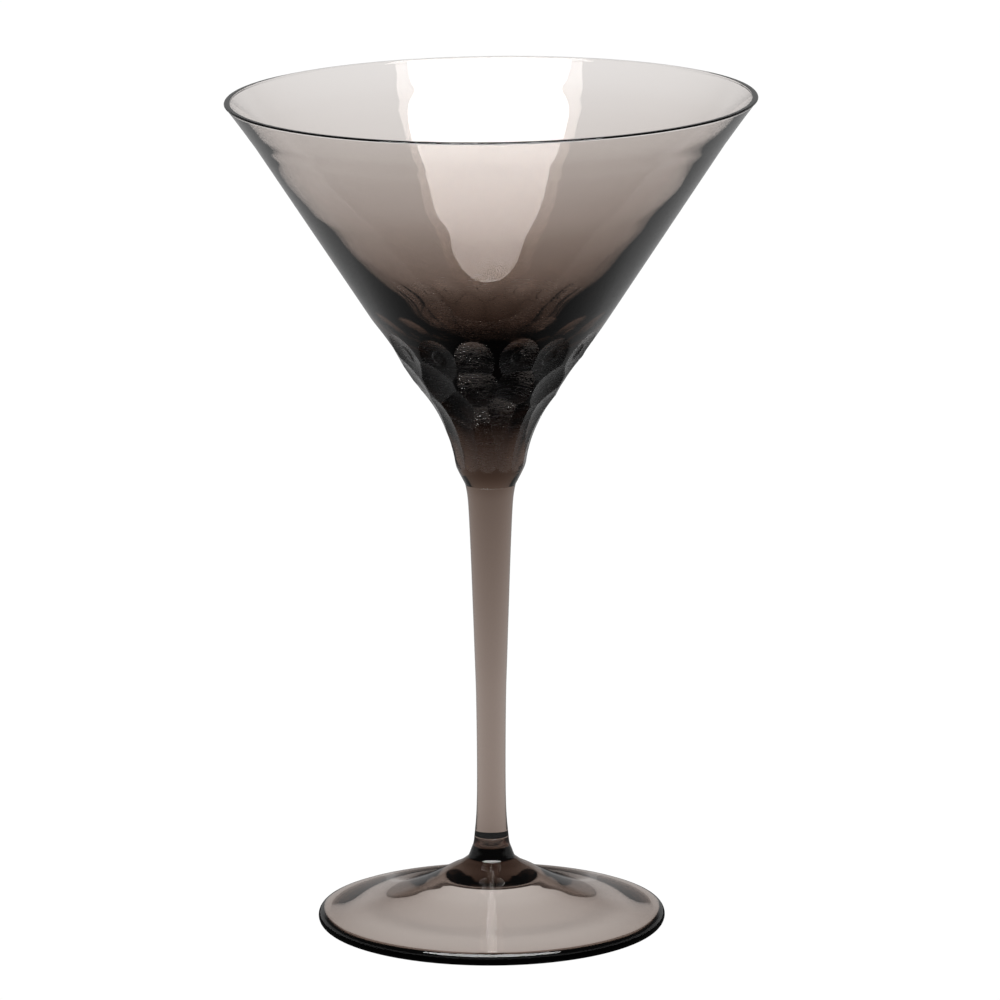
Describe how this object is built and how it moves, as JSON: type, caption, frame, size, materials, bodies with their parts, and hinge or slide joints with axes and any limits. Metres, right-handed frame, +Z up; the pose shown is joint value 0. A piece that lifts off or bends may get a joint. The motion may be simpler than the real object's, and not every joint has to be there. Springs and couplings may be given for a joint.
{
  "type": "martini glass",
  "caption": "Stemmed martini glass in smoke-grey glass: wide conical bowl with hand-cut facets round its solid base, slim drawn stem and sloping round foot.",
  "frame": {"origin": "on the table, under the middle of the foot", "axes": "+Z up along the stem, -Y towards the front"},
  "size_m": [0.12, 0.12, 0.1906],
  "materials": {
    "smoke_glass": "polished smoke-grey glass, ground matt on the facets"
  },
  "bodies": {
    "root": {"bowl": "smoke_glass", "stem": "smoke_glass", "foot": "smoke_glass"}
  },
  "joints": []
}
